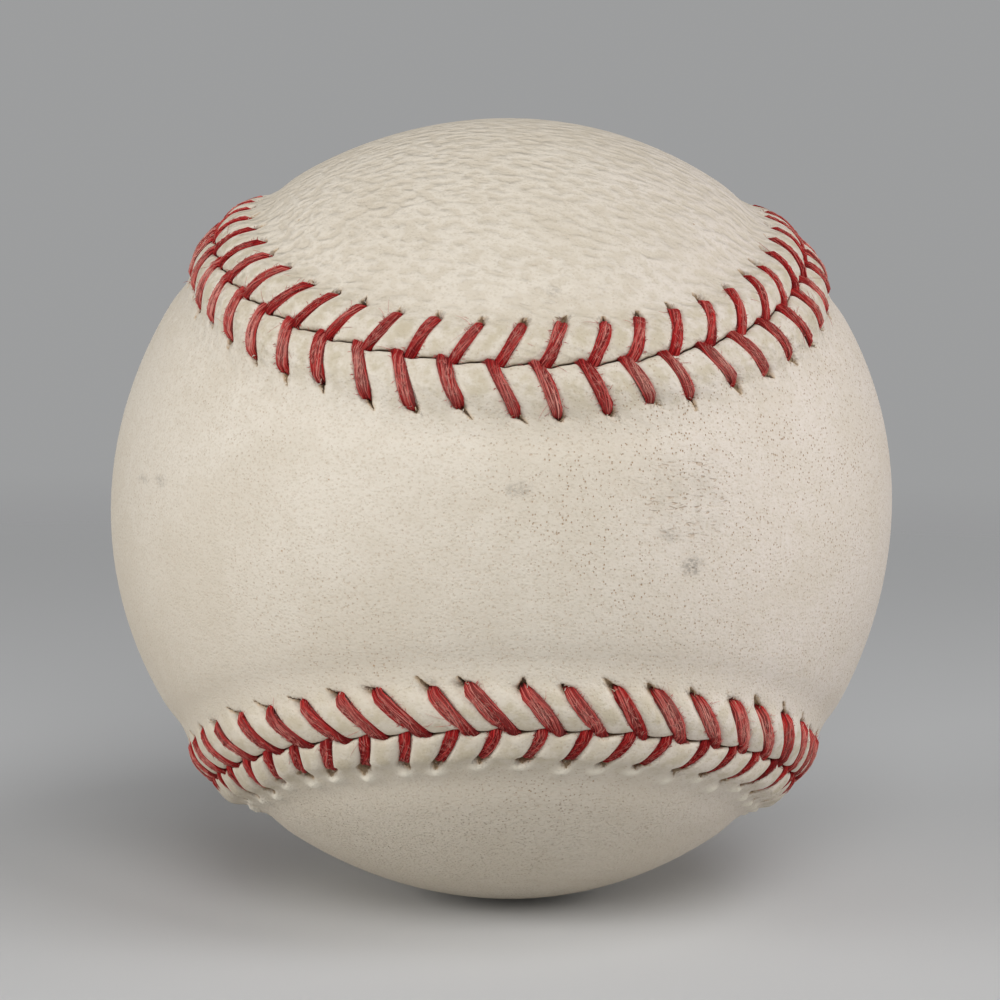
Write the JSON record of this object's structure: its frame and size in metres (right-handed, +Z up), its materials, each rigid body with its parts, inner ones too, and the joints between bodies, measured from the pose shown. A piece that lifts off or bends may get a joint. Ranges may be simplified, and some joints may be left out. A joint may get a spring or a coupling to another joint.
{
  "type": "baseball",
  "caption": "Ball with a laced leather cover over wound wool yarn and a cushioned cork centre, for throwing, batting or display.",
  "frame": {"origin": "centre of the ball", "axes": "+Z up, -Y towards the middle of the front cover panel's narrow waist, which is the side the picture shows, +X to its right"},
  "size_m": [0.0746, 0.0746, 0.0746],
  "materials": {
    "cork": "ground cork and rubber composition, matte",
    "black_rubber": "moulded, matte",
    "red_rubber": "moulded, matte",
    "grey_wool": "tightly wound wool yarn",
    "white_wool": "tightly wound wool yarn",
    "finishing_yarn": "tightly wound fine cotton yarn",
    "cement": "thin brushed coat of rubber cement",
    "cover_leather": "full-grain ivory hide, lightly aged, satin",
    "seam_thread": "waxed red cotton thread, worn and slightly fuzzy"
  },
  "bodies": {
    "root": {"cork_core": "cork", "black_rubber_half_lower": "black_rubber", "black_rubber_half_upper": "black_rubber", "rubber_gasket": "red_rubber", "red_rubber_layer": "red_rubber", "first_wool_winding": "grey_wool", "second_wool_winding": "white_wool", "third_wool_winding": "grey_wool", "finishing_yarn_winding": "finishing_yarn", "cement_coat": "cement", "front_cover_panel": "cover_leather", "back_cover_panel": "cover_leather", "seam_thread": "seam_thread"}
  },
  "joints": []
}
